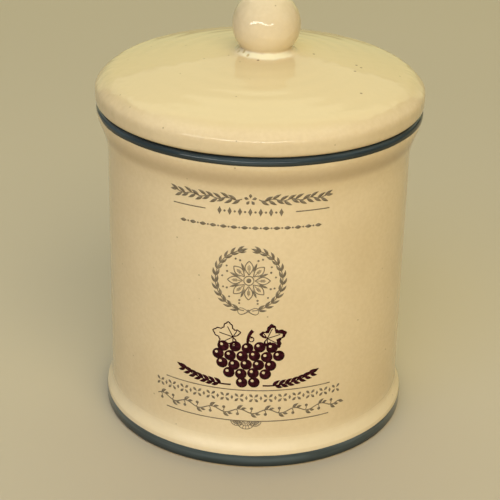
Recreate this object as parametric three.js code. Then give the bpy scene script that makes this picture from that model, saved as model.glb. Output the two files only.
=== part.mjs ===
// A shut stoneware cheese pot: a round, cream-glazed pot with a domed lid and a ball knob.
// Millimetres, +Z up. The origin is the middle of the flat base, and +Y points away from the printed front.
import * as THREE from 'three';

// Pot
const POT_HEIGHT = 89.5;
const BASE_RADIUS = 41.9;
const FOOT_RADIUS = 42.6;
const FOOT_WIDEST_HEIGHT = 3.8;
const FOOT_TOP_HEIGHT = 8.4;
const WALL_RADIUS = 41.1;
const WALL_TOP_HEIGHT = 75.5;
const RIM_RADIUS = 43.95;
const RIM_WIDEST_HEIGHT = 88.2;
const RIM_SEAT_RADIUS = 42.4;

// Lid, whose flat underside rests on the pot's rim, with a narrow gap under its outer edge
const LID_SEAT_RADIUS = 41.3;
const EDGE_GAP = 0.5;
const LID_EDGE_RADIUS = 42.9;
const LID_RADIUS = 44.2;
const LID_WIDEST_HEIGHT = POT_HEIGHT + 2.7;
const ARRIS_RADIUS = 43.35;
const ARRIS_HEIGHT = POT_HEIGHT + 5.8;
const SHOULDER_RADIUS = 38.5;
const SHOULDER_HEIGHT = POT_HEIGHT + 8.85;
const DOME_HEIGHT = POT_HEIGHT + 13.9;

// Knob, set by hand a little to one side of the lid's middle
const KNOB_RADIUS = 9.1;
const KNOB_CENTRE_HEIGHT = POT_HEIGHT + 21.1;
const KNOB_OFFSET = 1.3;
const COLLAR_RADIUS = 8.6;
const NECK_RADIUS = 7;
const OFFSET_STARTS_AT = POT_HEIGHT + 12;

// Courses of the half outlines at their turning points, in degrees
const OUTWARDS = 0;
const UP = 90;
const INWARDS = 180;
const ARRIS_COURSE = 135;
const SHOULDER_COURSE = 165;
const DOME_COURSE = 175;
const COLLAR_COURSE = 152;
const NECK_COURSE = 118;

// How far a curve holds its course at its ends before it bends away
const BASE_HOLD = 0.9;
const FOOT_HOLD = 2.6;
const COVE_HOLD = 1.8;
const FLARE_HOLD = 6.5;
const RIM_HOLD = 3.3;
const ROLL_HOLD = 0.9;
const EDGE_HOLD = 1.1;
const SIDE_HOLD = 1.6;
const ARRIS_HOLD = 1.2;
const SHOULDER_HOLD = 2.6;
const DOME_HOLD = 9.6;
const COLLAR_HOLD = 0.8;
const NECK_HOLD = 0.6;

const SEGMENTS = 88;
const CURVE_STEPS = 6;
const KNOB_STEPS = 17;

const GLAZE_CREAM = '#d9c49a';

// Straight run along a course, for the start or the end of a curve
function run(course, length) {
  const angle = THREE.MathUtils.degToRad(course);
  return new THREE.Vector2(length * Math.cos(angle), length * Math.sin(angle));
}

// Curve from the outline's last point to a radius and a height
function curveTo(outline, leaving, radius, height, arriving) {
  const start = outline.currentPoint;
  outline.bezierCurveTo(
    start.x + leaving.x, start.y + leaving.y,
    radius - arriving.x, height - arriving.y,
    radius, height,
  );
}

// Half outline of the pot: base, rounded foot, straight wall, flared neck, rolled rim and flat seat
function potOutline() {
  const outline = new THREE.Path();
  outline.moveTo(0, 0);
  outline.lineTo(BASE_RADIUS, 0);
  curveTo(outline, run(OUTWARDS, BASE_HOLD), FOOT_RADIUS, FOOT_WIDEST_HEIGHT, run(UP, FOOT_HOLD));
  curveTo(outline, run(UP, COVE_HOLD), WALL_RADIUS, FOOT_TOP_HEIGHT, run(UP, COVE_HOLD));
  outline.lineTo(WALL_RADIUS, WALL_TOP_HEIGHT);
  curveTo(outline, run(UP, FLARE_HOLD), RIM_RADIUS, RIM_WIDEST_HEIGHT, run(UP, RIM_HOLD));
  curveTo(outline, run(UP, ROLL_HOLD), RIM_SEAT_RADIUS, POT_HEIGHT, run(INWARDS, ROLL_HOLD));
  outline.lineTo(0, POT_HEIGHT);
  return outline.getPoints(CURVE_STEPS);
}

// Half outline of the lid below its knob: flat underside, gap, rounded edge, arris, shoulder, dome and collar
function coverOutline(neckHeight) {
  const atArris = run(ARRIS_COURSE, ARRIS_HOLD);
  const outline = new THREE.Path();
  outline.moveTo(0, POT_HEIGHT);
  outline.lineTo(LID_SEAT_RADIUS, POT_HEIGHT);
  outline.lineTo(LID_SEAT_RADIUS + EDGE_GAP / 2, POT_HEIGHT + EDGE_GAP);
  outline.lineTo(LID_EDGE_RADIUS, POT_HEIGHT + EDGE_GAP);
  curveTo(outline, run(OUTWARDS, EDGE_HOLD), LID_RADIUS, LID_WIDEST_HEIGHT, run(UP, EDGE_HOLD));
  curveTo(outline, run(UP, SIDE_HOLD), ARRIS_RADIUS, ARRIS_HEIGHT, atArris);
  curveTo(outline, atArris, SHOULDER_RADIUS, SHOULDER_HEIGHT, run(SHOULDER_COURSE, SHOULDER_HOLD));
  curveTo(outline, run(SHOULDER_COURSE, DOME_HOLD), COLLAR_RADIUS, DOME_HEIGHT, run(DOME_COURSE, DOME_HOLD));
  curveTo(outline, run(COLLAR_COURSE, COLLAR_HOLD), NECK_RADIUS, neckHeight, run(NECK_COURSE, NECK_HOLD));
  return outline.getPoints(CURVE_STEPS);
}

// Half outline of the whole lid, whose knob is a ball cut off where it meets the neck
function lidOutline() {
  const neckHeight = KNOB_CENTRE_HEIGHT - Math.sqrt(KNOB_RADIUS ** 2 - NECK_RADIUS ** 2);
  const points = coverOutline(neckHeight);
  const startAngle = Math.atan2(neckHeight - KNOB_CENTRE_HEIGHT, NECK_RADIUS);
  for (let step = 1; step < KNOB_STEPS; step += 1) {
    const angle = THREE.MathUtils.lerp(startAngle, Math.PI / 2, step / KNOB_STEPS);
    const radius = KNOB_RADIUS * Math.cos(angle);
    points.push(new THREE.Vector2(radius, KNOB_CENTRE_HEIGHT + KNOB_RADIUS * Math.sin(angle)));
  }
  points.push(new THREE.Vector2(0, KNOB_CENTRE_HEIGHT + KNOB_RADIUS));
  return points;
}

// Turned solid standing on +Z
function turned(points) {
  const geometry = new THREE.LatheGeometry(points, SEGMENTS);
  geometry.rotateX(Math.PI / 2);
  return geometry;
}

// Slides the collar and the knob sideways, running out smoothly into the dome
function setKnobOffCentre(geometry) {
  const position = geometry.getAttribute('position');
  for (let index = 0; index < position.count; index += 1) {
    const share = THREE.MathUtils.smoothstep(position.getZ(index), OFFSET_STARTS_AT, DOME_HEIGHT);
    position.setX(index, position.getX(index) + KNOB_OFFSET * share);
  }
  position.needsUpdate = true;
  return geometry;
}

function glaze() {
  return new THREE.MeshStandardMaterial({ color: GLAZE_CREAM, roughness: 0.18, metalness: 0 });
}

function pot() {
  const mesh = new THREE.Mesh(turned(potOutline()), glaze());
  mesh.name = 'pot';
  return mesh;
}

function lid() {
  const mesh = new THREE.Mesh(setKnobOffCentre(turned(lidOutline())), glaze());
  mesh.name = 'lid';
  return mesh;
}

const cheesePot = new THREE.Group();
cheesePot.add(pot(), lid());

export default cheesePot;
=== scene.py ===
"""Looks of a shut cheese pot: a cream-glazed stoneware pot and lid with painted bands and a fired-on print.

Lengths are in millimetres until they reach a mesh, a light or the camera, which are in metres.
Angles round the pot are in degrees from the front, which is -Y, towards +X.
"""
import bisect
import math
from typing import NamedTuple

import bmesh
import bpy
from mathutils import Matrix, Vector, noise

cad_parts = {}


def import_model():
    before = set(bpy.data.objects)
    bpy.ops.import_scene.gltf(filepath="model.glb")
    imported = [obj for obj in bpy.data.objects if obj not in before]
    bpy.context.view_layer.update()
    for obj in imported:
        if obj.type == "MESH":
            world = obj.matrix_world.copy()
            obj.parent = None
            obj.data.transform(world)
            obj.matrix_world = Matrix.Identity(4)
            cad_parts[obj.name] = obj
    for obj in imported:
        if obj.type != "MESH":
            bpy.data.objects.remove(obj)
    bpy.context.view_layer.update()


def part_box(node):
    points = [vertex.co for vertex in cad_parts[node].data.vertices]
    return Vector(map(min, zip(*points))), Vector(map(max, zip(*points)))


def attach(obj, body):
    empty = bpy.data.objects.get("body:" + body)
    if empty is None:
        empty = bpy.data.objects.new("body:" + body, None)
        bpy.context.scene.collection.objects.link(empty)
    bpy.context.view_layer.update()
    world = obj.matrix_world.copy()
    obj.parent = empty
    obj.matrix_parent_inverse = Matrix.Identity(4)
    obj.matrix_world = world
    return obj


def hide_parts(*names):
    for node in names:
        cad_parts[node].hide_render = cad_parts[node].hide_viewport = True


class Tint(NamedTuple):
    """Colour mixed into the cream glaze in a zone, and how much of it is mixed in.

    A zone is the heights where it starts and is full and, if it ends again, where it fades and is gone.
    """

    zone: tuple
    share: float
    colour: tuple


MM = 0.001

# Pot
BASE_RADIUS = 41.9
FOOT_RADIUS = 42.6
FOOT_WIDEST_HEIGHT = 3.8
FOOT_TOP_HEIGHT = 8.4
WALL_RADIUS = 41.1
WALL_TOP_HEIGHT = 75.5
RIM_RADIUS = 43.95
RIM_WIDEST_HEIGHT = 88.2
RIM_SEAT_RADIUS = 42.4

# Lid, in heights above the pot's seat
LID_SEAT_RADIUS = 41.3
EDGE_GAP = 0.5
LID_EDGE_RADIUS = 42.9
LID_WIDEST_RISE = 2.7
ARRIS_RADIUS = 43.35
ARRIS_RISE = 5.8
SHOULDER_RADIUS = 38.5
SHOULDER_RISE = 8.85
COLLAR_RADIUS = 8.6
COLLAR_RISE = 13.9
NECK_RADIUS = 7
KNOB_RADIUS = 9.1
KNOB_OFFSET = 1.3
OFFSET_STARTS_AT = 12

# Courses of the half outlines at their turning points, in degrees
OUTWARDS = 0
UP = 90
ARRIS_COURSE = 135
SHOULDER_COURSE = 165
DOME_COURSE = 175
INWARDS = 180
COLLAR_COURSE = 152
NECK_COURSE = 118

# How far a curve holds its course at its ends before it bends away
BASE_HOLD = 0.9
FOOT_HOLD = 2.6
COVE_HOLD = 1.8
FLARE_HOLD = 6.5
RIM_HOLD = 3.3
ROLL_HOLD = 0.9
EDGE_HOLD = 1.1
SIDE_HOLD = 1.6
ARRIS_HOLD = 1.2
SHOULDER_HOLD = 2.6
DOME_HOLD = 9.6
COLLAR_HOLD = 0.8
NECK_HOLD = 0.6

# Fineness of the turned meshes
SEGMENTS = 360
ROW_SPACING = 0.7
FEWEST_CURVE_STEPS = 6
HEIGHT_TOLERANCE = 0.0001

# Unevenness left by the hand, always inwards of the turned form, which runs out at the base and the seat
SLOW_WAVE = 30
SLOW_DEPTH = 0.16
QUICK_WAVE = 9
QUICK_DEPTH = 0.05
KNOB_EVENNESS = 0.7
BASE_RUNOUT = 2
SEAT_RUNOUT = 1

# Turning rings on the lid, with the radii where they come in and go out
RIPPLE_SPACING = 5.2
RIPPLE_DEPTH = 0.05
RIPPLES_COME_IN = (10, 18)
RIPPLES_GO_OUT = (37, 42)
RIPPLE_WANDER = 2.5
RIPPLE_WANDER_WAVE = 22

# Paint and print lie a hair proud of the surface and reach a little into it
PAINT_LIFT = 0.03
PAINT_ROOT = 0.2

# Painted bands
RIM_BAND_EDGE = 87.8
RIM_BAND_END_RADIUS = 41.6
FOOT_BAND_BOTTOM = 0.45
FOOT_BAND_TOP = 3.9
BAND_ROWS = 28
BAND_WAVER = 0.12
WAVER_SLOW_WAVE = 17
WAVER_QUICK_WAVE = 5
WAVER_SLOW_SHARE = 0.6

# Step up in the rim band's lower edge, with the angles left of the front where it rises and comes down again
RIM_STEP = 0.7
RIM_STEP_RISES = (62, 73)
RIM_STEP_FALLS = (110, 150)

# Print, in arc lengths from its middle line and heights above the base
PRINT_ANGLE = -2.4
TITLE_HEIGHT = 77.8
TITLE_HALF_WIDTH = 19.9
LOZENGE_HEIGHT = 74.4
LOZENGE_HALF_WIDTH = 7.8
SHORT_RULE_START = 11.5
SHORT_RULE_END = 20.5
BEAD_ROW_HEIGHT = 70.1
BEAD_ROW_HALF_WIDTH = 17.6
BEAD_LENGTH = 1.8
ROSETTE_HEIGHT = 55.4
WREATH_RADIUS = 8.7
BERRY_CIRCLE_RADIUS = 6.95
BUNCH_TOP = 37.6
GRAPE_RADIUS = 1.56
GRAPES_IN_ROWS = (5, 6, 5, 4, 2)
LONG_RULE_HALF_WIDTH = 23
UPPER_RULE_HEIGHT = 23.2
LOWER_RULE_HEIGHT = 13.8
FLORET_HEIGHT = 20.9
FLORET_HALF_WIDTH = 25
SCROLL_HEIGHT = 16.8
SCROLL_HALF_WIDTH = 26
SCROLL_BENDS = 14
FAN_RADIUS = 2.5
SIDE_FAN_RADIUS = 1.55

# Widths of the print's lines
LEAF_OUTLINE = 0.32
RULE_WIDTH = 0.3
STEM_WIDTH = 0.26
VEIN_WIDTH = 0.24
THREAD_WIDTH = 0.2
MIDRIB_WIDTH = 0.18
HAIRLINE = 0.16
POINT_WIDTH = 0.04

# Fineness of the print
STRAIGHT_STEP = 1
ROUND_STEP = 0.5
FEWEST_ROUND_STEPS = 10
CURL_STEPS_PER_MM = 3
FEWEST_CURL_STEPS = 8
LEAF_STEPS = 8
LOZENGE_STEPS = 4
DISC_CORE_SHARE = 0.02

# Cream glaze
GLAZE_IOR = 1.5
CREAM_PALE = (0.78, 0.62, 0.366)
CREAM_DEEP = (0.74, 0.58, 0.334)
MOTTLE_COLOUR = (0.52, 0.36, 0.17)
MOTTLE_SHARE = 0.11
CREAM_SMOOTHEST = 0.035
CREAM_ROUGHEST = 0.06
FOOT_EXTRA_ROUGHNESS = 0.28

# Its painted shade and light on the pot, with zones in heights above the base
# Painted shade in the neck's hollow under the rim
HOLLOW_SHADE = Tint(zone=(80.2, 83, 83.4, 87.2), share=0.43, colour=(0.34, 0.22, 0.11))
# Painted light on the foot's upward-facing roll, whose zone also makes the foot less glossy
FOOT_LIGHT = Tint(zone=(3.5, 5.5, 7.5, 11), share=0.55, colour=(0.87, 0.73, 0.46))

# Its tint on the knob and its painted shade and light on the lid, with zones in heights above the pot's seat
# Painted highlight on the collar
COLLAR_HIGHLIGHT = Tint(zone=(13.7, 14.1, 14.8, 15.4), share=0.62, colour=(0.96, 0.93, 0.62))
# Painted shade on the lid's rounded edge and side
EDGE_SHADE = Tint(zone=(-0.1, 0.1, 3.1, 5.3), share=0.3, colour=(0.53, 0.417, 0.23))
KNOB_TINT = Tint(zone=(15, 17), share=0.22, colour=(0.74, 0.66, 0.46))
# Painted light under the knob, where light from the dome falls
UNDER_KNOB_LIGHT = Tint(zone=(15.4, 16.5, 18, 22.5), share=0.75, colour=(0.84, 0.7, 0.44))
# Painted shade on the dome
DOME_SHADE = Tint(zone=(6, 8, 13.5, 14.1), share=0.8, colour=(0.7, 0.55, 0.29))

# The painted highlight on the collar is strongest round a place at its front, in plan, and has uneven edges
COLLAR_HIGHLIGHT_CENTRE = (1, -7.5)
COLLAR_HIGHLIGHT_RADIUS = 10
COLLAR_WANDER = 0.7

# Dark specks all over the glaze
SPECK_COLOUR = (0.16, 0.1, 0.04)
SPECK_SHARE = 0.6
SPECK_RADIUS = 0.32
SPECK_CORE = 0.08
SPECK_SPACING = 3
SPECK_CHANCE = 0.25

# Pinholes, as places in plan, and brown crumbs round the knob's axis, at the left of the collar
PINHOLE_COLOUR = (0.26, 0.18, 0.09)
PINHOLE_RADIUS = 0.46
PINHOLES = ((-0.7, -8.6), (14, -0.9), (25.2, -4), (26.4, -5.2), (24.6, -8.6), (25.6, -21.7))
CRUMB_COLOUR = (0.6, 0.46, 0.22)
CRUMB_RADIUS = 0.55
CRUMB_ANGLES = range(-97, -35, 15)
CRUMB_DISTANCES = (7.8, 7.3)
DOT_CORE_SHARE = 0.4

# Pinholes and crumbs fade out just under the knob, in heights above the pot's seat
FLAWS_END = (15.1, 15.4)

# Relief of the cream glaze, calm on the wall and the dome, a little calm on the foot, and wavy elsewhere
WALL_CALM = (9, 13, 84, 89)
FOOT_CALM_SHARE = 0.3
DOME_CALM = (7.5, 10)
WAVE_HEIGHT = 0.22
CALM_WAVE_HEIGHT = 0.04
EXTRA_KNOB_WAVE_HEIGHT = 0.25
DIMPLE_HEIGHT = 0.035
TURNING_LINE_HEIGHT = 0.02

# Blue glaze, whose painted shade along a band's lower edge reaches over a share of the band
RIM_DARK_BLUE = (0.025, 0.037, 0.04)
RIM_PALE_BLUE = (0.058, 0.082, 0.09)
# The foot band's blues are paler than the rim band's, as painted light on the foot
FOOT_LIT_DARK_BLUE = (0.038, 0.055, 0.056)
FOOT_LIT_PALE_BLUE = (0.085, 0.115, 0.118)
LOW_SHADE_BLUE = (0.012, 0.017, 0.014)
LOW_SHADE_SHARE = 0.75
BLUE_ROUGHNESS = 0.08
BLUE_RELIEF = 0.02

# Inks, where they lie thick and where they are worn thin
GREY_THICK = (0.19, 0.15, 0.096)
GREY_THIN = (0.27, 0.22, 0.14)
PLUM_THICK = (0.024, 0.003, 0.005)
PLUM_THIN = (0.055, 0.009, 0.014)
INK_ROUGHNESS = 0.12
INK_SPECULAR = 0.05

# Places of the Mix node's colour sockets, which share their names with its other sockets
MIX_FIRST_COLOUR = 6
MIX_SECOND_COLOUR = 7
MIX_RESULT_COLOUR = 2

# Camera, with its turns in radians
LENS = 109.32
SENSOR = 36
CLIP_START = 10
CAMERA_DISTANCE = 386.31
CAMERA_HEIGHT = 227.19
CAMERA_PITCH = 0.44133
CAMERA_YAW = -0.00461
CAMERA_ROLL = 0.02137

# Studio, in metres
FLOOR_REACH = 4
FLOOR_COLOUR = (0.52, 0.45, 0.32)
FLOOR_ROUGHNESS = 0.7
AIR_COLOUR = (1, 0.93, 0.8)
AIR_STRENGTH = 0.1
LIGHTS_AIM_HEIGHT = 0.06


# Turned forms

def run(course, length):
    """Straight run of a length along a course in degrees."""
    return Vector((length * math.cos(math.radians(course)), length * math.sin(math.radians(course))))


class Outline:
    """Half outline of a turned form, as closely spaced points of radius and height."""

    def __init__(self, radius, height):
        self.points = [Vector((radius, height))]

    def line_to(self, radius, height):
        start = self.points[-1]
        end = Vector((radius, height))
        steps = max(1, math.ceil((end - start).length / ROW_SPACING))
        self.points += [start.lerp(end, step / steps) for step in range(1, steps + 1)]

    def curve_to(self, leaving, radius, height, arriving):
        """Cubic curve that sets out and arrives along two straight runs."""
        start = self.points[-1]
        end = Vector((radius, height))
        first = start + leaving
        second = end - arriving
        length = (first - start).length + (second - first).length + (end - second).length
        steps = max(FEWEST_CURVE_STEPS, math.ceil(length / ROW_SPACING))
        for step in range(1, steps + 1):
            gone = step / steps
            left = 1 - gone
            point = start * left**3 + first * 3 * left * left * gone
            point += second * 3 * left * gone * gone
            point += end * gone**3
            self.points.append(point)


def pot_outline(seat):
    """Base, rounded foot, straight wall, flared neck, rolled rim and flat seat."""
    outline = Outline(0, 0)
    outline.line_to(BASE_RADIUS, 0)
    outline.curve_to(run(OUTWARDS, BASE_HOLD), FOOT_RADIUS, FOOT_WIDEST_HEIGHT, run(UP, FOOT_HOLD))
    outline.curve_to(run(UP, COVE_HOLD), WALL_RADIUS, FOOT_TOP_HEIGHT, run(UP, COVE_HOLD))
    outline.line_to(WALL_RADIUS, WALL_TOP_HEIGHT)
    outline.curve_to(run(UP, FLARE_HOLD), RIM_RADIUS, RIM_WIDEST_HEIGHT, run(UP, RIM_HOLD))
    outline.curve_to(run(UP, ROLL_HOLD), RIM_SEAT_RADIUS, seat, run(INWARDS, ROLL_HOLD))
    outline.line_to(0, seat)
    return outline.points


def lid_outline(seat, widest, top):
    """Flat underside, gap, rounded edge, arris, shoulder, shallow dome, collar and ball knob."""
    knob_centre = top - KNOB_RADIUS
    neck = knob_centre - math.sqrt(KNOB_RADIUS**2 - NECK_RADIUS**2)
    at_arris = run(ARRIS_COURSE, ARRIS_HOLD)
    outline = Outline(0, seat)
    outline.line_to(LID_SEAT_RADIUS, seat)
    outline.line_to(LID_SEAT_RADIUS + EDGE_GAP / 2, seat + EDGE_GAP)
    outline.line_to(LID_EDGE_RADIUS, seat + EDGE_GAP)
    outline.curve_to(run(OUTWARDS, EDGE_HOLD), widest, seat + LID_WIDEST_RISE, run(UP, EDGE_HOLD))
    outline.curve_to(run(UP, SIDE_HOLD), ARRIS_RADIUS, seat + ARRIS_RISE, at_arris)
    at_shoulder = run(SHOULDER_COURSE, SHOULDER_HOLD)
    outline.curve_to(at_arris, SHOULDER_RADIUS, seat + SHOULDER_RISE, at_shoulder)
    at_collar = run(DOME_COURSE, DOME_HOLD)
    outline.curve_to(run(SHOULDER_COURSE, DOME_HOLD), COLLAR_RADIUS, seat + COLLAR_RISE, at_collar)
    outline.curve_to(run(COLLAR_COURSE, COLLAR_HOLD), NECK_RADIUS, neck, run(NECK_COURSE, NECK_HOLD))
    start_angle = math.atan2(neck - knob_centre, NECK_RADIUS)
    sweep = math.pi / 2 - start_angle
    steps = math.ceil(sweep * KNOB_RADIUS / ROW_SPACING)
    for step in range(1, steps):
        angle = math.degrees(start_angle + sweep * step / steps)
        outline.points.append(Vector((0, knob_centre)) + run(angle, KNOB_RADIUS))
    outline.points.append(Vector((0, top)))
    return outline.points


def outward_normals(points):
    """Unit normals of a half outline that runs up its outside, away from the axis."""
    normals = []
    for index in range(len(points)):
        ahead = points[min(index + 1, len(points) - 1)]
        behind = points[max(index - 1, 0)]
        along = (ahead - behind).normalized()
        normals.append(Vector((along.y, -along.x)))
    return normals


def place_on(radius, height, angle):
    """Point at an angle in degrees from the front, which is -Y, towards +X."""
    turn = math.radians(angle)
    return Vector((radius * math.sin(turn), -radius * math.cos(turn), height))


def smoothstep(value, low, high):
    """Rises smoothly from 0 at the low value to 1 at the high one."""
    share = min(1, max(0, (value - low) / (high - low)))
    return share * share * (3 - 2 * share)


def hand_depth(place):
    """How far the surface lies inside the turned form at a place."""
    slow = 0.5 + 0.5 * noise.noise(place / SLOW_WAVE)
    quick = 0.5 + 0.5 * noise.noise(place / QUICK_WAVE)
    return SLOW_DEPTH * slow + QUICK_DEPTH * quick


def ripple_depth(place):
    """Shallow rings left on the lid by the turning."""
    radius = place.xy.length
    share = smoothstep(radius, *RIPPLES_COME_IN) * (1 - smoothstep(radius, *RIPPLES_GO_OUT))
    wander = RIPPLE_WANDER * noise.noise(place / RIPPLE_WANDER_WAVE)
    phase = 2 * math.pi * radius / RIPPLE_SPACING + wander
    return RIPPLE_DEPTH * share * (0.5 + 0.5 * math.sin(phase))


class Surface:
    """Uneven turned surface, whose points are found by arc length along its outline and angle."""

    def __init__(self, points, depth_at, shift_at):
        self.points = points
        self.normals = outward_normals(points)
        self.depth_at = depth_at
        self.shift_at = shift_at
        self.heights = [point.y for point in points]
        self.arcs = [0]
        for start, end in zip(points, points[1:]):
            self.arcs.append(self.arcs[-1] + (end - start).length)

    def arc_of_height(self, height):
        """Arc length of the first outline point at that height above the base."""
        after = max(1, bisect.bisect_left(self.heights, height - HEIGHT_TOLERANCE))
        low, high = self.heights[after - 1], self.heights[after]
        share = (height - low) / (high - low)
        return self.arcs[after - 1] + share * (self.arcs[after] - self.arcs[after - 1])

    def at(self, arc, angle, lift=0):
        """Point in metres at an arc length and angle, lifted off the surface by so many millimetres."""
        index = min(max(bisect.bisect_right(self.arcs, arc) - 1, 0), len(self.points) - 2)
        share = (arc - self.arcs[index]) / (self.arcs[index + 1] - self.arcs[index])
        point = self.points[index].lerp(self.points[index + 1], share)
        normal = self.normals[index].lerp(self.normals[index + 1], share).normalized()
        place = place_on(point.x, point.y, angle)
        place += place_on(normal.x, normal.y, angle) * (lift - self.depth_at(place))
        return (place + self.shift_at(point.y)) * MM


def pot_surface(seat):
    """The base and the seat stay flat, and everything between is uneven."""
    def depth_at(place):
        above_base = smoothstep(place.z, 0, BASE_RUNOUT)
        below_seat = 1 - smoothstep(place.z, seat - SEAT_RUNOUT, seat)
        return hand_depth(place) * above_base * below_seat

    def shift_at(height):
        return Vector((0, 0, 0))

    return Surface(pot_outline(seat), depth_at, shift_at)


def lid_surface(seat, widest, top):
    """The underside stays flat, the knob is more even, and collar and knob sit a little to one side."""
    def depth_at(place):
        above_edge = smoothstep(place.z, seat + EDGE_GAP, seat + LID_WIDEST_RISE)
        on_knob = smoothstep(place.z, seat + COLLAR_RISE, top - KNOB_RADIUS)
        return above_edge * (hand_depth(place) * (1 - KNOB_EVENNESS * on_knob) + ripple_depth(place))

    def shift_at(height):
        share = smoothstep(height, seat + OFFSET_STARTS_AT, seat + COLLAR_RISE)
        return Vector((KNOB_OFFSET * share, 0, 0))

    return Surface(lid_outline(seat, widest, top), depth_at, shift_at)


def finished(name, mesh):
    """Smooth-shaded object of a closed mesh, with its faces pointing out."""
    bmesh.ops.recalc_face_normals(mesh, faces=mesh.faces)
    data = bpy.data.meshes.new(name)
    mesh.to_mesh(data)
    mesh.free()
    data.shade_smooth()
    piece = bpy.data.objects.new(name, data)
    bpy.context.scene.collection.objects.link(piece)
    return piece


def turned_mesh(name, surface):
    """Closed mesh of a turned surface that starts and ends on its axis."""
    mesh = bmesh.new()
    rows = []
    for arc, point in zip(surface.arcs, surface.points):
        count = SEGMENTS if point.x > 0 else 1
        angles = [360 * segment / SEGMENTS for segment in range(count)]
        rows.append([mesh.verts.new(surface.at(arc, angle)) for angle in angles])
    for low, high in zip(rows, rows[1:]):
        for segment in range(SEGMENTS):
            after = (segment + 1) % SEGMENTS
            corners = [low[segment % len(low)], low[after % len(low)]]
            corners += [high[after % len(high)], high[segment % len(high)]]
            # Two corners are the same vertex next to the axis, where only one of them is kept
            mesh.faces.new(dict.fromkeys(corners))
    return finished(name, mesh)


# Paint

def add_shell(mesh, surface, rows, closed):
    """Thin closed shell on a surface, from rows of arc lengths and angles. closed joins each row's ends."""
    outer = [[mesh.verts.new(surface.at(*spot, PAINT_LIFT)) for spot in row] for row in rows]
    inner = [[mesh.verts.new(surface.at(*spot, -PAINT_ROOT)) for spot in row] for row in rows]
    count = len(rows[0])
    spans = [(here, (here + 1) % count) for here in range(count if closed else count - 1)]
    for skin in (outer, inner):
        for low, high in zip(skin, skin[1:]):
            for here, after in spans:
                mesh.faces.new((low[here], low[after], high[after], high[here]))
    for edge in (0, -1):
        for here, after in spans:
            mesh.faces.new((outer[edge][here], outer[edge][after], inner[edge][after], inner[edge][here]))
    if not closed:
        for side in (0, -1):
            for low in range(len(rows) - 1):
                mesh.faces.new(
                    (outer[low][side], outer[low + 1][side], inner[low + 1][side], inner[low][side])
                )


def waver(angle, seed):
    """Small unevenness of a painted edge, from -1 to 1, another one for each seed."""
    spot = place_on(WALL_RADIUS, seed, angle)
    slow = noise.noise(spot / WAVER_SLOW_WAVE)
    quick = noise.noise(spot / WAVER_QUICK_WAVE)
    return WAVER_SLOW_SHARE * slow + (1 - WAVER_SLOW_SHARE) * quick


def painted_band(name, surface, low_arc_at, high_arc_at):
    """Band all round a surface, between two edges whose arc lengths depend on the angle."""
    mesh = bmesh.new()
    rows = []
    for row in range(BAND_ROWS + 1):
        share = row / BAND_ROWS
        spots = []
        for segment in range(SEGMENTS):
            angle = 360 * segment / SEGMENTS
            arc = low_arc_at(angle) * (1 - share) + high_arc_at(angle) * share
            spots.append((arc, angle))
        rows.append(spots)
    add_shell(mesh, surface, rows, closed=True)
    return finished(name, mesh)


def rim_band(surface, seat):
    """Slate blue from just under the rim over its roll and under the lid, with a step in its edge."""
    edge_arc = surface.arc_of_height(RIM_BAND_EDGE)
    end_arc = surface.arc_of_height(seat) + RIM_SEAT_RADIUS - RIM_BAND_END_RADIUS

    def low_arc_at(angle):
        leftwards = 180 - (angle + 180) % 360
        step = smoothstep(leftwards, *RIM_STEP_RISES) * (1 - smoothstep(leftwards, *RIM_STEP_FALLS))
        return edge_arc + RIM_STEP * step + BAND_WAVER * waver(angle, seed=100)

    def high_arc_at(angle):
        return end_arc

    return painted_band("rim_band", surface, low_arc_at, high_arc_at)


def foot_band(surface):
    """Slate blue round the foot, with a thin cream line left under it."""
    low_arc = surface.arc_of_height(FOOT_BAND_BOTTOM)
    high_arc = surface.arc_of_height(FOOT_BAND_TOP)

    def low_arc_at(angle):
        return low_arc + BAND_WAVER * waver(angle, seed=200)

    def high_arc_at(angle):
        return high_arc + BAND_WAVER * waver(angle, seed=300)

    return painted_band("foot_band", surface, low_arc_at, high_arc_at)


# Print

def at(x, height):
    """Point of the flat drawing, by its arc length from the middle line and its height."""
    return Vector((x, height))


def circle(centre, radius, steps):
    return [centre + run(360 * step / steps, radius) for step in range(steps)]


def round_steps(radius):
    return max(FEWEST_ROUND_STEPS, math.ceil(2 * math.pi * radius / ROUND_STEP))


def spread(half_width, spacing):
    """Evenly spaced places from one end to the other, near that spacing."""
    count = round(2 * half_width / spacing)
    return [half_width * (2 * index / count - 1) for index in range(count + 1)]


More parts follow.
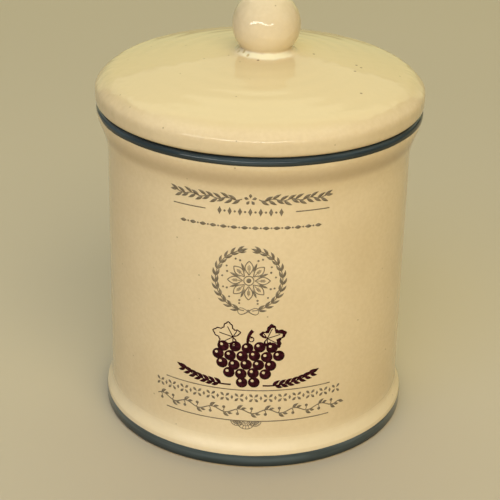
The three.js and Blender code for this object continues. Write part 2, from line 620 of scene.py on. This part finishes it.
class Print:
    """Flat ornament wrapped onto the pot, drawn in arc lengths from its middle line and heights."""

    def __init__(self, surface):
        self.surface = surface
        self.mesh = bmesh.new()

    def spot(self, point):
        """Arc length up the pot's outline and angle of a point of the flat drawing."""
        return self.surface.arc_of_height(point.y), PRINT_ANGLE + math.degrees(point.x / WALL_RADIUS)

    def between(self, first, second, closed=False):
        """Fills the space between two edges of as many points each."""
        pairs = list(zip(first, second))
        widest = max((end - start).length for start, end in pairs)
        steps = max(1, math.ceil(widest / STRAIGHT_STEP))
        rows = []
        for row in range(steps + 1):
            rows.append([self.spot(start.lerp(end, row / steps)) for start, end in pairs])
        add_shell(self.mesh, self.surface, rows, closed)

    def stroke(self, path, widths, closed=False):
        """Line of changing width along a path."""
        left, right = [], []
        for index, (point, width) in enumerate(zip(path, widths)):
            ahead = path[(index + 1) % len(path)] if closed else path[min(index + 1, len(path) - 1)]
            behind = path[index - 1] if closed else path[max(index - 1, 0)]
            along = (ahead - behind).normalized()
            across = Vector((-along.y, along.x)) * width / 2
            left.append(point + across)
            right.append(point - across)
        self.between(left, right, closed)

    def trace(self, path, width, closed=False):
        """Line of one width along a path."""
        self.stroke(path, [width] * len(path), closed)

    def line(self, start, end, width):
        steps = max(1, math.ceil((end - start).length / STRAIGHT_STEP))
        self.trace([start.lerp(end, step / steps) for step in range(steps + 1)], width)

    def curl(self, start, heading, length, turn, width, end_width, quicker=1):
        """Line that turns by so many degrees in all, ever quicker along its way when quicker is over 1."""
        steps = max(FEWEST_CURL_STEPS, math.ceil(length * CURL_STEPS_PER_MM))
        path = [start]
        for step in range(steps):
            course = heading + turn * ((step + 0.5) / steps) ** quicker
            path.append(path[-1] + run(course, length / steps))
        self.stroke(path, [width + (end_width - width) * step / steps for step in range(steps + 1)])
        return path

    def leaf(self, start, heading, length, width, bend=0, fullest=0.45):
        """Pointed leaf, fullest at a share of its length, whose midrib turns by so many degrees in all."""
        path = [start]
        for step in range(LEAF_STEPS):
            course = heading + bend * (step + 0.5) / LEAF_STEPS
            path.append(path[-1] + run(course, length / LEAF_STEPS))
        power = math.log(0.5) / math.log(fullest)
        widths = []
        for step in range(LEAF_STEPS + 1):
            swell = math.sin(math.pi * (step / LEAF_STEPS) ** power)
            widths.append(max(POINT_WIDTH, width * swell))
        self.stroke(path, widths)

    def lozenge(self, centre, width, height):
        path = []
        widths = []
        for step in range(LOZENGE_STEPS + 1):
            up = step / LOZENGE_STEPS - 0.5
            path.append(centre + at(0, height * up))
            widths.append(max(POINT_WIDTH, width * (1 - 2 * abs(up))))
        self.stroke(path, widths)

    def ring(self, centre, radius, width):
        self.trace(circle(centre, radius, round_steps(radius)), width, closed=True)

    def disc(self, centre, radius):
        """Full disc, drawn in towards a core that is too small to see."""
        steps = round_steps(radius)
        core = circle(centre, radius * DISC_CORE_SHARE, steps)
        self.between(circle(centre, radius, steps), core, closed=True)

    def piece(self, name):
        return finished(name, self.mesh)


def garland(ink):
    """Two leafy sprays that run outwards from a small flower."""
    start = 2.1
    end_gap = 0.5
    length = TITLE_HALF_WIDTH - end_gap - start
    steps = 36
    sway = 0.28
    sway_rate = 1.35
    lean = 42
    for side in (-1, 1):
        outwards = 0 if side > 0 else 180
        path = []
        for step in range(steps + 1):
            x = start + length * step / steps
            path.append(at(side * x, TITLE_HEIGHT + sway * math.sin(sway_rate * x)))
        ink.trace(path, STEM_WIDTH)
        for index, point in enumerate(path[1::2]):
            turn = lean * side if index % 2 else -lean * side
            ink.leaf(point, outwards + turn, length=2.5, width=0.8, bend=-turn / 2)
        ink.leaf(path[-1], outwards, length=1.9, width=0.75)
    for petal in range(5):
        course = 90 + 72 * petal
        ink.leaf(at(0, TITLE_HEIGHT) + run(course, 0.4), course, length=1.25, width=0.8, fullest=0.6)


def lozenges(ink):
    """Lozenges with dots between them, and a short rule on either side."""
    for index, x in enumerate(spread(LOZENGE_HALF_WIDTH, spacing=1.3)):
        if index % 2:
            ink.disc(at(x, LOZENGE_HEIGHT), radius=0.3)
        else:
            ink.lozenge(at(x, LOZENGE_HEIGHT), width=1.1, height=2.1)
    for side in (-1, 1):
        start = at(side * SHORT_RULE_START, LOZENGE_HEIGHT)
        ink.line(start, at(side * SHORT_RULE_END, LOZENGE_HEIGHT), RULE_WIDTH)


def bead_row(ink):
    """Row of pointed beads with dots between them."""
    for index, x in enumerate(spread(BEAD_ROW_HALF_WIDTH, spacing=1.35)):
        if index % 2:
            ink.disc(at(x, BEAD_ROW_HEIGHT), radius=0.26)
        else:
            start = at(x - BEAD_LENGTH / 2, BEAD_ROW_HEIGHT)
            ink.leaf(start, heading=0, length=BEAD_LENGTH, width=0.92, fullest=0.5)


def branch(ink, middle, side):
    """One side of the wreath, from the bow up, with leaves in pairs and berries on its inside."""
    start = 7
    sweep = 156
    steps = 48
    pair_steps = range(3, steps, 4)
    lean = 36
    courses = [-90 + side * (start + sweep * step / steps) for step in range(steps + 1)]
    path = [middle + run(course, WREATH_RADIUS) for course in courses]
    ink.trace(path, VEIN_WIDTH)
    for pair, step in enumerate(pair_steps):
        along = courses[step] + side * 90
        ink.leaf(path[step], along + lean, length=2.3, width=0.7, bend=-30)
        ink.leaf(path[step], along - lean, length=2.3, width=0.7, bend=30)
        if pair % 2 == 0:
            ink.disc(middle + run(courses[step + 1], BERRY_CIRCLE_RADIUS), radius=0.27)
    ink.leaf(path[-1], courses[-1] + side * 90, length=2.2, width=0.7)


def bow(ink, knot, side):
    """Loop and hanging end on one side of a knot."""
    loop_length = 2.7
    loop_height = 0.95
    loop_drop = 0.1
    steps = 20
    loop = []
    for step in range(steps):
        turn = math.pi * step / steps
        across = side * loop_length * math.sin(turn)
        loop.append(knot + at(across, loop_height * math.sin(2 * turn) - loop_drop))
    ink.trace(loop, THREAD_WIDTH, closed=True)
    ink.curl(knot, -90 + side * 40, length=2.3, turn=side * 40, width=0.32, end_width=0.18)


def wreath(ink):
    """Open wreath of two leafy branches with berries, tied with a bow at the bottom."""
    middle = at(0, ROSETTE_HEIGHT)
    knot = middle + at(0, -WREATH_RADIUS)
    for side in (-1, 1):
        branch(ink, middle, side)
    ink.disc(knot, radius=0.42)
    for side in (-1, 1):
        bow(ink, knot, side)


def petal(ink, middle, course):
    """Outlined petal of the big flower, with a midrib and a short vein on either side of it."""
    start = 1.6
    length = 3.9
    spread_angle = 17
    steps = 14
    for side in (-1, 1):
        path = []
        for step in range(steps + 1):
            along = step / steps
            swing = side * spread_angle * math.sin(math.pi * along**0.85)
            path.append(middle + run(course + swing, start + length * along))
        ink.trace(path, STEM_WIDTH)
        vein_start = middle + run(course + side * 5, 3)
        vein_end = middle + run(course + side * 4, 4.1)
        ink.line(vein_start, vein_end, HAIRLINE)
    ink.line(middle + run(course, 2.1), middle + run(course, 4.4), MIDRIB_WIDTH)


def flower(ink):
    """Eight outlined petals round a ring, slim solid leaves between them and a circle of dots."""
    middle = at(0, ROSETTE_HEIGHT)
    ink.disc(middle, radius=0.66)
    ink.ring(middle, radius=1.3, width=STEM_WIDTH)
    for index in range(8):
        course = 90 + 45 * index
        petal(ink, middle, course)
        between = course + 22.5
        ink.leaf(middle + run(between, 2.4), between, length=2.9, width=0.62, fullest=0.6)
        ink.disc(middle + run(between, 6.1), radius=0.3)


def grape(ink, centre):
    """Dark grape with a light fleck at its upper left."""
    steps = 22
    fleck_centre = centre + run(135, 0.42 * GRAPE_RADIUS)
    fleck = circle(fleck_centre, 0.26 * GRAPE_RADIUS, steps)
    ink.between(circle(centre, GRAPE_RADIUS, steps), fleck, closed=True)


def bunch(ink):
    """Broad bunch of grapes under a short stalk with a tendril, drawn row by row."""
    row_drop = 1.66 * GRAPE_RADIUS
    spacing = 2.05 * GRAPE_RADIUS
    for row, count in enumerate(GRAPES_IN_ROWS):
        for place in range(count):
            aside = 0.3 * math.sin(2.1 * row)
            aloft = 0.2 * math.sin(2.4 * place + row)
            x = (place - (count - 1) / 2) * spacing + aside
            grape(ink, at(x, BUNCH_TOP - GRAPE_RADIUS - row * row_drop + aloft))
    stalk = ink.curl(at(0.1, BUNCH_TOP - 0.8), heading=100, length=4.6, turn=-52, width=0.6, end_width=1)
    tendril_start = stalk[7]
    ink.curl(tendril_start, heading=25, length=5, turn=-420, width=0.34, end_width=0.2, quicker=1.3)


def vine_leaf_reach(turn):
    """How far a leaf of size 1 with five lobes and twenty teeth reaches at so many degrees from its tip."""
    lobe_depth = 0.18
    tooth_depth = 0.04
    notch_depth = 0.5
    notch_width = 20
    lengthening = 0.16
    lobes = 1 - lobe_depth + lobe_depth * math.cos(math.radians(5 * turn))
    teeth = tooth_depth * math.cos(math.radians(20 * turn))
    notch = 1 - notch_depth * math.exp(-((turn - 180) / notch_width) ** 2)
    return (lobes + teeth) * notch * (1 + lengthening * math.cos(math.radians(turn)))


def vine_leaf(ink, middle, heading, size, solid):
    """Veined leaf with its stalk end opposite its heading. A solid one is filled along its outline."""
    steps = 80
    turns = [360 * step / steps for step in range(steps)]
    outline = [middle + run(heading + turn, size * vine_leaf_reach(turn)) for turn in turns]
    ink.trace(outline, LEAF_OUTLINE, closed=True)
    root = middle - run(heading, 0.3 * size)
    for turn in (-128, -66, 0, 66, 128):
        vein_end = middle + run(heading + turn, 0.72 * size)
        ink.line(root, vein_end, VEIN_WIDTH)
    if solid:
        depths = [0.3 + 0.14 * math.sin(0.39 * step) for step in range(steps)]
        inner = [point.lerp(middle, depth) for point, depth in zip(outline, depths)]
        ink.between(outline, inner, closed=True)


def spray(ink, side):
    """Leafy spray with a tendril, from under the bunch outwards."""
    outwards = 0 if side > 0 else 180
    start = at(side * 4.2, BUNCH_TOP - 12.9)
    path = ink.curl(start, outwards - side * 4, length=13.5, turn=side * 30, width=0.46, end_width=0.24)
    tendril_start = path[14]
    leaf_steps = range(8, len(path) - 2, 5)
    heading = outwards + side * 62
    ink.curl(tendril_start, heading, length=4.2, turn=-side * 300, width=0.28, end_width=0.18, quicker=1.5)
    for step in leaf_steps:
        ink.leaf(path[step], outwards + side * 50, length=2.5, width=1, bend=-side * 24)
        ink.leaf(path[step + 2], outwards - side * 30, length=2.2, width=0.9, bend=side * 24)
    ink.leaf(path[-1], outwards + side * 26, length=2.5, width=1)


def vine(ink):
    """An open and a filled leaf beside the stalk, and a leafy spray on either side of the bunch."""
    vine_leaf(ink, at(-4.9, BUNCH_TOP + 1.6), heading=165, size=3.7, solid=False)
    vine_leaf(ink, at(6.1, BUNCH_TOP + 1.5), heading=18, size=3.5, solid=True)
    for side in (-1, 1):
        spray(ink, side)


def florets(ink):
    """Four-petalled florets with small lozenges between them."""
    for index, x in enumerate(spread(FLORET_HALF_WIDTH, spacing=1.95)):
        middle = at(x, FLORET_HEIGHT)
        if index % 2:
            ink.lozenge(middle, width=0.75, height=1.3)
            continue
        for number in range(4):
            course = 45 + 90 * number
            ink.leaf(middle + run(course, 0.22), course, length=1.42, width=0.72, fullest=0.6)


def scroll(ink):
    """Running vine: a waved stem with leaves out of each bend and a berry on a curved stalk inside it."""
    sway = 0.62
    steps = 14
    stalk_step = 4
    long_leaf_step = 5
    short_leaf_step = 9
    span = 2 * SCROLL_HALF_WIDTH / SCROLL_BENDS
    path = []
    for step in range(SCROLL_BENDS * steps + 1):
        along = step / steps
        height = SCROLL_HEIGHT + sway * math.sin(math.pi * along)
        path.append(at(span * (along - SCROLL_BENDS / 2), height))
    ink.trace(path, RULE_WIDTH)
    for bend in range(SCROLL_BENDS):
        up = 1 if bend % 2 == 0 else -1
        places = path[bend * steps:(bend + 1) * steps]
        ink.leaf(places[long_leaf_step], up * 62, length=2, width=0.85, bend=-up * 46)
        ink.leaf(places[short_leaf_step], up * 34, length=1.5, width=0.7, bend=-up * 40)
        stalk = ink.curl(
            places[stalk_step], -up * 40, length=1.5, turn=-up * 70, width=0.24, end_width=0.2
        )
        ink.disc(stalk[-1], radius=0.44)
    ink.leaf(path[-1], heading=-24, length=2, width=0.8)


def rules(ink):
    """Two long rules, above the florets and below the running vine."""
    for height in (UPPER_RULE_HEIGHT, LOWER_RULE_HEIGHT):
        ink.line(at(-LONG_RULE_HALF_WIDTH, height), at(LONG_RULE_HALF_WIDTH, height), RULE_WIDTH)


def fan(ink, x, radius):
    """Half round fan that hangs from the lower rule, with an inner arc and seven spokes."""
    steps = 16
    spaces = 8
    middle = at(x, LOWER_RULE_HEIGHT)
    for share in (1, 0.6):
        path = [middle + run(180 + 180 * step / steps, radius * share) for step in range(steps + 1)]
        ink.trace(path, THREAD_WIDTH)
    for spoke in range(1, spaces):
        course = 180 + 180 * spoke / spaces
        spoke_start = middle + run(course, 0.2 * radius)
        ink.line(spoke_start, middle + run(course, radius), HAIRLINE)


def fans(ink):
    """A fan between two smaller ones."""
    fan(ink, -FAN_RADIUS, SIDE_FAN_RADIUS)
    fan(ink, 0, FAN_RADIUS)
    fan(ink, FAN_RADIUS, SIDE_FAN_RADIUS)


# Materials

class Nodes:
    """Short calls for building a material's node tree."""

    def __init__(self, name):
        self.material = bpy.data.materials.new(name)
        self.material.use_nodes = True
        self.tree = self.material.node_tree
        self.shader = self.tree.nodes["Principled BSDF"]
        self.place = self.node("ShaderNodeTexCoord").outputs["Object"]

    def node(self, kind, **settings):
        made = self.tree.nodes.new(kind)
        for key, value in settings.items():
            setattr(made, key, value)
        return made

    def link(self, source, target):
        """Feeds a socket from another one, or sets it to a plain value."""
        if isinstance(source, bpy.types.NodeSocket):
            self.tree.links.new(source, target)
        else:
            target.default_value = source

    def math(self, operation, first, second):
        made = self.node("ShaderNodeMath", operation=operation)
        self.link(first, made.inputs[0])
        self.link(second, made.inputs[1])
        return made.outputs[0]

    def noise(self, wave, detail=2, stretch=(1, 1, 1)):
        """Noise from about 0.3 to 0.7, with features of so many millimetres.

        Along an axis with a stretch below 1 the features are longer, and above 1 shorter.
        """
        mapping = self.node("ShaderNodeMapping")
        self.link(self.place, mapping.inputs["Vector"])
        mapping.inputs["Scale"].default_value = stretch
        made = self.node("ShaderNodeTexNoise")
        self.link(mapping.outputs["Vector"], made.inputs["Vector"])
        made.inputs["Scale"].default_value = 1 / (wave * MM)
        made.inputs["Detail"].default_value = detail
        return made.outputs["Fac"]

    def remap(self, value, low, high, to_low=0, to_high=1):
        """Goes smoothly from one output at the low value to another at the high one."""
        made = self.node("ShaderNodeMapRange", interpolation_type="SMOOTHSTEP")
        self.link(value, made.inputs["Value"])
        made.inputs["From Min"].default_value = low
        made.inputs["From Max"].default_value = high
        made.inputs["To Min"].default_value = to_low
        made.inputs["To Max"].default_value = to_high
        return made.outputs["Result"]

    def zone(self, height, starts, full, fades=None, ends=None, before=0):
        """From its value before a zone up to 1 in it and, where it fades, down to 0."""
        share = self.remap(height, starts, full, before, 1)
        if fades is None:
            return share
        return self.math("MULTIPLY", share, self.remap(height, fades, ends, 1, 0))

    def mix(self, share, first, second):
        made = self.node("ShaderNodeMix", data_type="RGBA")
        self.link(share, made.inputs[0])
        self.link(first, made.inputs[MIX_FIRST_COLOUR])
        self.link(second, made.inputs[MIX_SECOND_COLOUR])
        return made.outputs[MIX_RESULT_COLOUR]

    def tinted(self, colour, where, share, tint):
        """Mixes a share of a tint into a colour where asked."""
        return self.mix(self.math("MULTIPLY", where, share), colour, (*tint, 1))

    def height(self):
        """Height above the base in millimetres."""
        made = self.node("ShaderNodeSeparateXYZ")
        self.link(self.place, made.inputs[0])
        return self.math("DIVIDE", made.outputs["Z"], MM)

    def bump(self, *layers):
        """Relief from layers of a value and its height in millimetres between 0 and 1 of that value."""
        relief = 0
        for value, height in layers:
            relief = self.math("ADD", relief, self.math("MULTIPLY", value, height))
        made = self.node("ShaderNodeBump")
        made.inputs["Distance"].default_value = MM
        self.link(relief, made.inputs["Height"])
        self.link(made.outputs["Normal"], self.shader.inputs["Normal"])

    def dot(self, centre, radius):
        """Round spot above a point of the plan in millimetres, from 1 in its middle to 0 at its edge."""
        plan = self.node("ShaderNodeVectorMath", operation="MULTIPLY")
        self.link(self.place, plan.inputs[0])
        plan.inputs[1].default_value = (1, 1, 0)
        made = self.node("ShaderNodeVectorMath", operation="DISTANCE")
        self.link(plan.outputs[0], made.inputs[0])
        made.inputs[1].default_value = (centre[0] * MM, centre[1] * MM, 0)
        return self.remap(made.outputs["Value"], DOT_CORE_SHARE * radius * MM, radius * MM, 1, 0)

    def specks(self, spacing, core, radius, chance):
        """Round spots in some of the cells that far apart, from 1 in a spot's core to 0 at its edge."""
        made = self.node("ShaderNodeTexVoronoi")
        self.link(self.place, made.inputs["Vector"])
        made.inputs["Scale"].default_value = 1 / (spacing * MM)
        spot = self.remap(made.outputs["Distance"], core / spacing, radius / spacing, 1, 0)
        chosen = self.node("ShaderNodeSeparateColor")
        self.link(made.outputs["Color"], chosen.inputs[0])
        return self.math("MULTIPLY", spot, self.math("LESS_THAN", chosen.outputs["Red"], chance))


def cream_ground(nodes):
    """Cream in two slowly changing shades, with a fine brown mottle."""
    slow = nodes.remap(nodes.noise(wave=26), low=0.35, high=0.65)
    colour = nodes.mix(slow, (*CREAM_PALE, 1), (*CREAM_DEEP, 1))
    mottle = nodes.remap(nodes.noise(wave=1.1, detail=3), low=0.3, high=0.7)
    return nodes.tinted(colour, mottle, MOTTLE_SHARE, MOTTLE_COLOUR)


def with_tints(nodes, colour, height, *tints):
    """Tints in their zones of a height, one after the other."""
    for tint in tints:
        colour = nodes.tinted(colour, nodes.zone(height, *tint.zone), tint.share, tint.colour)
    return colour


def with_collar_highlight(nodes, colour, rise):
    """Painted highlight at the front of the collar, with uneven upper and lower edges."""
    wobble = nodes.math("SUBTRACT", nodes.noise(wave=2.6, detail=1), 0.5)
    uneven_rise = nodes.math("ADD", rise, nodes.math("MULTIPLY", wobble, COLLAR_WANDER))
    in_front = nodes.dot(COLLAR_HIGHLIGHT_CENTRE, COLLAR_HIGHLIGHT_RADIUS)
    on_collar_highlight = nodes.math("MULTIPLY", nodes.zone(uneven_rise, *COLLAR_HIGHLIGHT.zone), in_front)
    return nodes.tinted(colour, on_collar_highlight, COLLAR_HIGHLIGHT.share, COLLAR_HIGHLIGHT.colour)


def with_flaws(nodes, colour, rise):
    """Dark specks all over, pinholes in the dome and brown crumbs at the collar."""
    specks = nodes.specks(SPECK_SPACING, SPECK_CORE, SPECK_RADIUS, SPECK_CHANCE)
    colour = nodes.tinted(colour, specks, SPECK_SHARE, SPECK_COLOUR)
    below_knob = nodes.remap(rise, *FLAWS_END, 1, 0)
    for centre in PINHOLES:
        colour = nodes.tinted(colour, nodes.dot(centre, PINHOLE_RADIUS), below_knob, PINHOLE_COLOUR)
    for index, angle in enumerate(CRUMB_ANGLES):
        centre = place_on(CRUMB_DISTANCES[index % 2], 0, angle) + Vector((KNOB_OFFSET, 0, 0))
        colour = nodes.tinted(colour, nodes.dot(centre, CRUMB_RADIUS), below_knob, CRUMB_COLOUR)
    return colour


def add_cream_relief(nodes, height, rise):
    """Waves and dimples away from the wall and the dome, and fine turning lines all over."""
    wall_calm = nodes.zone(height, *WALL_CALM, before=FOOT_CALM_SHARE)
    calm = nodes.math("MAXIMUM", wall_calm, nodes.zone(rise, *DOME_CALM))
    extra = nodes.math("MULTIPLY", nodes.zone(rise, *KNOB_TINT.zone), EXTRA_KNOB_WAVE_HEIGHT)
    waves = nodes.math("ADD", nodes.remap(calm, 0, 1, WAVE_HEIGHT, CALM_WAVE_HEIGHT), extra)
    nodes.bump(
        (nodes.noise(wave=3.6, detail=1), waves),
        (nodes.noise(wave=1.5, detail=1), nodes.remap(calm, 0, 1, DIMPLE_HEIGHT, 0)),
        (nodes.noise(wave=0.9, stretch=(0.11, 0.11, 1)), TURNING_LINE_HEIGHT),
    )


def cream_glaze(seat):
    """Cream glaze with painted shade and light in zones, a tint on the knob, and less glossy on the foot."""
    nodes = Nodes("cream glaze")
    height = nodes.height()
    rise = nodes.math("SUBTRACT", height, seat)
    colour = cream_ground(nodes)
    colour = with_tints(nodes, colour, height, HOLLOW_SHADE, FOOT_LIGHT)
    colour = with_collar_highlight(nodes, colour, rise)
    colour = with_tints(nodes, colour, rise, EDGE_SHADE, KNOB_TINT, UNDER_KNOB_LIGHT, DOME_SHADE)
    colour = with_flaws(nodes, colour, rise)
    nodes.link(colour, nodes.shader.inputs["Base Color"])
    on_foot = nodes.math("MULTIPLY", nodes.zone(height, *FOOT_LIGHT.zone), FOOT_EXTRA_ROUGHNESS)
    roughness = nodes.remap(nodes.noise(wave=12), 0.3, 0.7, CREAM_SMOOTHEST, CREAM_ROUGHEST)
    nodes.link(nodes.math("ADD", on_foot, roughness), nodes.shader.inputs["Roughness"])
    nodes.shader.inputs["IOR"].default_value = GLAZE_IOR
    add_cream_relief(nodes, height, rise)
    return nodes.material


def blue_glaze(name, low, high, dark, pale):
    """Brushed slate blue of a band between two heights, darker in streaks and in painted shade towards its
    lower edge.
    """
    nodes = Nodes(name)
    strokes = nodes.noise(wave=9, detail=3, stretch=(0.35, 0.35, 6))
    streaks = nodes.remap(strokes, low=0.32, high=0.68)
    brushed = nodes.mix(streaks, (*dark, 1), (*pale, 1))
    # Painted shade darkens the band towards its lower edge
    above_low_shade = nodes.remap(nodes.height(), low, low + (high - low) * LOW_SHADE_SHARE)
    colour = nodes.mix(above_low_shade, (*LOW_SHADE_BLUE, 1), brushed)
    nodes.link(colour, nodes.shader.inputs["Base Color"])
    nodes.shader.inputs["Roughness"].default_value = BLUE_ROUGHNESS
    nodes.shader.inputs["IOR"].default_value = GLAZE_IOR
    nodes.bump((nodes.noise(wave=3, detail=1), BLUE_RELIEF))
    return nodes.material


def ink_glaze(name, thick, thin):
    """Print under the glaze, a little worn and uneven."""
    nodes = Nodes(name)
    wear = nodes.remap(nodes.noise(wave=0.9, detail=3), low=0.42, high=0.72)
    nodes.link(nodes.mix(wear, (*thick, 1), (*thin, 1)), nodes.shader.inputs["Base Color"])
    nodes.shader.inputs["Roughness"].default_value = INK_ROUGHNESS
    nodes.shader.inputs["Specular IOR Level"].default_value = INK_SPECULAR
    nodes.shader.inputs["IOR"].default_value = GLAZE_IOR
    return nodes.material


# Pieces

def dressed(piece, finish, replaced=None):
    """Gives a piece its material, its body and, where it stands for a solid, that solid's place."""
    piece.data.materials.append(finish)
    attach(piece, "root")
    if replaced:
        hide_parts(replaced)


def printed(name, slot, finish, surface, *motifs):
    """One piece of print made of several motifs."""
    ink = Print(surface)
    for motif in motifs:
        motif(ink)
    dressed(ink.piece(name), finish)


def build():
    """The glazed pot and lid, the two painted bands and the four pieces of print."""
    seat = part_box("pot")[1].z / MM
    lid_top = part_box("lid")[1].z / MM
    lid_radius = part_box("lid")[1].x / MM
    pot = pot_surface(seat)
    lid = lid_surface(seat, lid_radius, lid_top)
    cream = cream_glaze(seat)
    dressed(turned_mesh("glazed_pot", pot), cream, "pot")
    dressed(turned_mesh("glazed_lid", lid), cream, "lid")
    rim_blue = blue_glaze("blue rim glaze", RIM_BAND_EDGE, seat, RIM_DARK_BLUE, RIM_PALE_BLUE)
    dressed(rim_band(pot, seat), rim_blue)
    # The foot band's blue is a paler copy of the rim's, with painted light
    lit_foot_blue = blue_glaze(
        "lit blue foot glaze", FOOT_BAND_BOTTOM, FOOT_BAND_TOP, FOOT_LIT_DARK_BLUE, FOOT_LIT_PALE_BLUE
    )
    dressed(foot_band(pot), lit_foot_blue)
    grey = ink_glaze("grey ink", GREY_THICK, GREY_THIN)
    plum = ink_glaze("plum ink", PLUM_THICK, PLUM_THIN)
    printed("print_title", "grey_print", grey, pot, garland, lozenges, bead_row)
    printed("print_rosette", "grey_print", grey, pot, wreath, flower)
    printed("print_bunch", "plum_print", plum, pot, bunch, vine)
    printed("print_foot_rows", "grey_print", grey, pot, rules, florets, scroll, fans)


# Studio

def camera():
    """Camera in front of the pot that looks down on it."""
    data = bpy.data.cameras.new("camera")
    data.lens = LENS
    data.sensor_width = SENSOR
    data.clip_start = CLIP_START * MM
    made = bpy.data.objects.new("camera", data)
    bpy.context.scene.collection.objects.link(made)
    turn = Matrix.Rotation(-CAMERA_YAW, 4, "Z") @ Matrix.Rotation(math.pi / 2 - CAMERA_PITCH, 4, "X")
    turn = turn @ Matrix.Rotation(CAMERA_ROLL, 4, "Z")
    place = Matrix.Translation(Vector((0, -CAMERA_DISTANCE, CAMERA_HEIGHT)) * MM)
    made.matrix_world = place @ turn
    bpy.context.scene.camera = made


def world():
    """Weak warm light from all round."""
    made = bpy.data.worlds.new("studio")
    made.use_nodes = True
    background = made.node_tree.nodes["Background"]
    background.inputs["Color"].default_value = (*AIR_COLOUR, 1)
    background.inputs["Strength"].default_value = AIR_STRENGTH
    bpy.context.scene.world = made


def floor():
    """Plain pale floor that the pot stands on."""
    corners = [(x * FLOOR_REACH, y * FLOOR_REACH, 0) for x, y in ((-1, -1), (1, -1), (1, 1), (-1, 1))]
    data = bpy.data.meshes.new("floor")
    data.from_pydata(corners, [], [(0, 1, 2, 3)])
    made = bpy.data.objects.new("floor", data)
    bpy.context.scene.collection.objects.link(made)
    nodes = Nodes("floor")
    nodes.shader.inputs["Base Color"].default_value = (*FLOOR_COLOUR, 1)
    nodes.shader.inputs["Roughness"].default_value = FLOOR_ROUGHNESS
    made.data.materials.append(nodes.material)


def area_light(name, azimuth, elevation, distance, width, height, watts, colour, mirrored=True):
    """Rectangular light aimed at the pot, its distance and sides in metres, mirrored in the glaze or not."""
    data = bpy.data.lights.new(name, "AREA")
    data.shape = "RECTANGLE"
    data.size = width
    data.size_y = height
    data.energy = watts
    data.color = colour
    made = bpy.data.objects.new(name, data)
    bpy.context.scene.collection.objects.link(made)
    tilt = math.radians(elevation)
    away = place_on(math.cos(tilt), math.sin(tilt), azimuth)
    made.location = Vector((0, 0, LIGHTS_AIM_HEIGHT)) + away * distance
    made.rotation_mode = "QUATERNION"
    made.rotation_quaternion = (-away).to_track_quat("-Z", "Y")
    made.visible_camera = False
    made.visible_glossy = mirrored


def lights():
    """Two softboxes in front, an arch of panels up the back and overhead, and a low strip in front."""
    softbox = {"elevation": 48, "distance": 1.3, "width": 0.9, "height": 0.8, "mirrored": False}
    area_light("cool softbox", azimuth=-20, watts=4.8, colour=(0.02, 0.3, 1), **softbox)
    area_light("warm softbox", azimuth=15, watts=11.1, colour=(1, 0.89, 0.62), **softbox)
    panel = {"azimuth": 180, "distance": 2, "width": 3}
    area_light("low panel", elevation=11, height=0.85, watts=4.3, colour=(1, 0.99, 0.47), **panel)
    area_light("high panel", elevation=33, height=0.68, watts=5.2, colour=(1, 0.98, 0.6), **panel)
    area_light("slanted panel", elevation=57, height=1.03, watts=13, colour=(1, 0.98, 0.64), **panel)
    area_light("overhead panel", elevation=88, height=1.2, watts=6, colour=(1, 0.98, 0.7), **panel)
    strip = {"azimuth": -13, "elevation": 20, "distance": 1.3, "width": 2.1, "height": 0.1}
    area_light("strip", watts=7.6, colour=(1, 0.95, 0.86), **strip)


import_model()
build()
camera()
world()
floor()
lights()
bpy.context.scene.view_settings.view_transform = "Standard"
bpy.context.view_layer.update()
